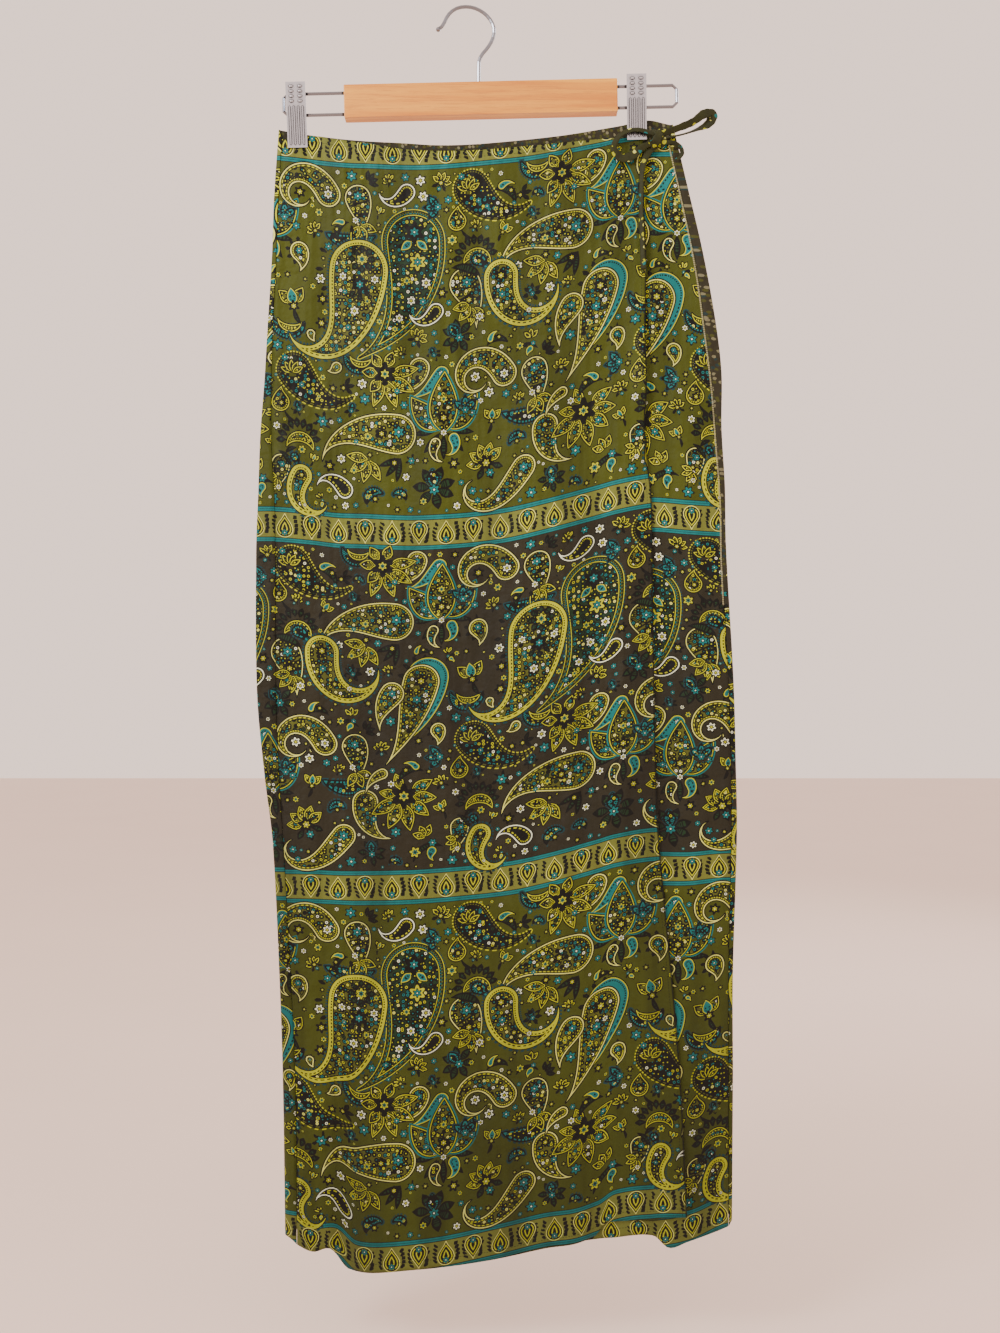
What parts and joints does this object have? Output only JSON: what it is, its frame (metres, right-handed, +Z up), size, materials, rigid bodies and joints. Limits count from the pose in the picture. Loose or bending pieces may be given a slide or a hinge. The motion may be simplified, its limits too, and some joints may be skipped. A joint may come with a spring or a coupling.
{
  "type": "wrap maxi skirt on a clip hanger",
  "caption": "Long printed wrap skirt with a waist tie, hung flat by two spring clips on a wooden hanger with a wire hook.",
  "frame": {"origin": "inside top of the hanger's hook, where it rests on a knob or rail", "axes": "+Z up, the front of the skirt faces -Y, +X to the right as seen from the front"},
  "size_m": [0.4512, 0.0275, 1.1837],
  "materials": {
    "printed_cloth": "soft printed viscose crepe with a slight sheen",
    "printed_cloth_back": "soft printed viscose crepe with a slight sheen",
    "tie_cloth": "printed viscose crepe, folded narrow",
    "wood": "satin lacquered light maple",
    "steel": "plated steel"
  },
  "bodies": {
    "root": {"front_over_panel": "printed_cloth", "front_under_panel": "printed_cloth", "back_panel": "printed_cloth_back", "back_side_left": "printed_cloth_back", "back_side_right": "printed_cloth_back", "tie_knot": "tie_cloth", "tie_loop_left": "tie_cloth", "tie_loop_right": "tie_cloth", "tie_loop_small": "tie_cloth", "tie_tail": "tie_cloth", "hanger_bar": "wood", "hanger_hook": "steel", "hanger_rail_left": "steel", "hanger_rail_right": "steel", "clip_left_front": "steel", "clip_left_back": "steel", "clip_left_spring": "steel", "clip_right_front": "steel", "clip_right_back": "steel", "clip_right_spring": "steel"}
  },
  "joints": []
}
